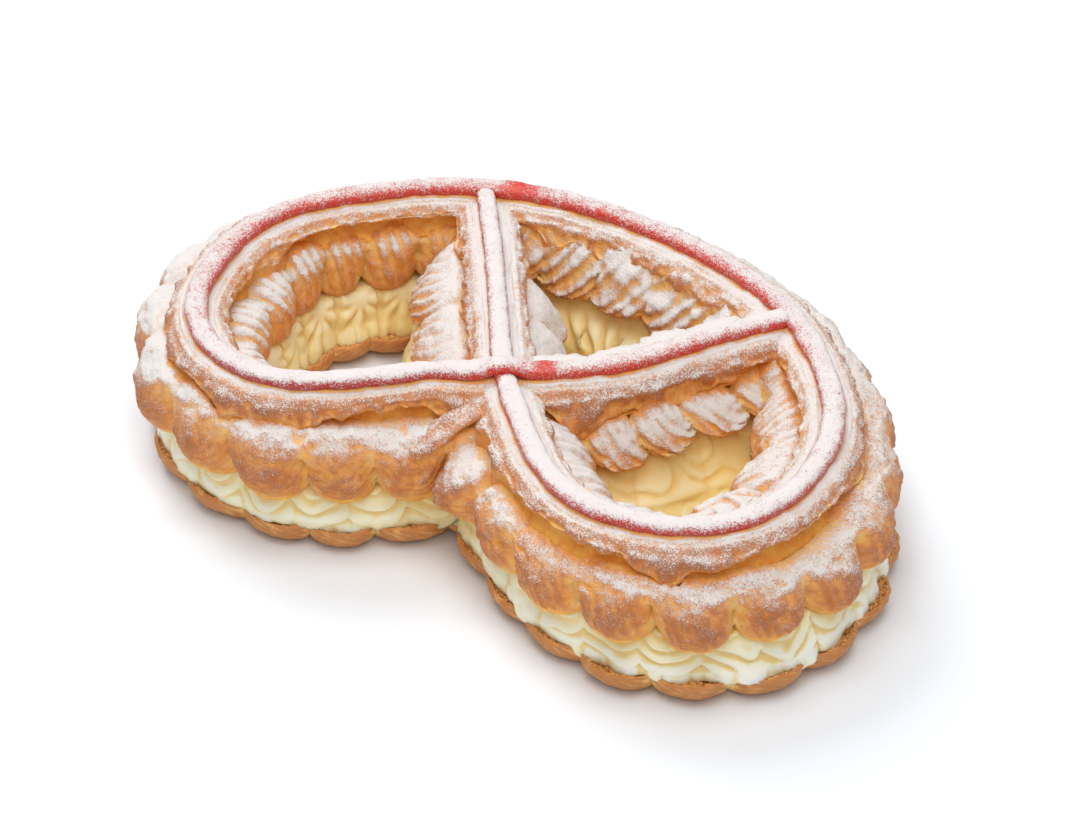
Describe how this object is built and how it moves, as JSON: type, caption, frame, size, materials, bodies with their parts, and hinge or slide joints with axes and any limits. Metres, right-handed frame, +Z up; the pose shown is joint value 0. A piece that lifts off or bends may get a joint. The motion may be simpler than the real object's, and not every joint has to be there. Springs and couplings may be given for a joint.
{
  "type": "kringle",
  "caption": "Pretzel-shaped choux pastry ring split level, filled with piped cream, with a raised sugared strand and a red icing line on top.",
  "frame": {"origin": "on the table, under the centre of the pretzel", "axes": "+X from the left loop to the right loop, +Y from the knot to the long arch, +Z up"},
  "size_m": [0.3393, 0.2197, 0.077],
  "materials": {
    "baked_choux": "browned crust, dull, fine ribs",
    "whipped_cream": "soft satin cream with piped ridges",
    "sugared_choux": "browned crust under a dusting of icing sugar",
    "red_icing": "satin icing, dusted with sugar"
  },
  "bodies": {
    "root": {"lower_choux": "baked_choux", "cream_filling": "whipped_cream", "upper_choux": "sugared_choux", "icing_line": "red_icing"}
  },
  "joints": []
}
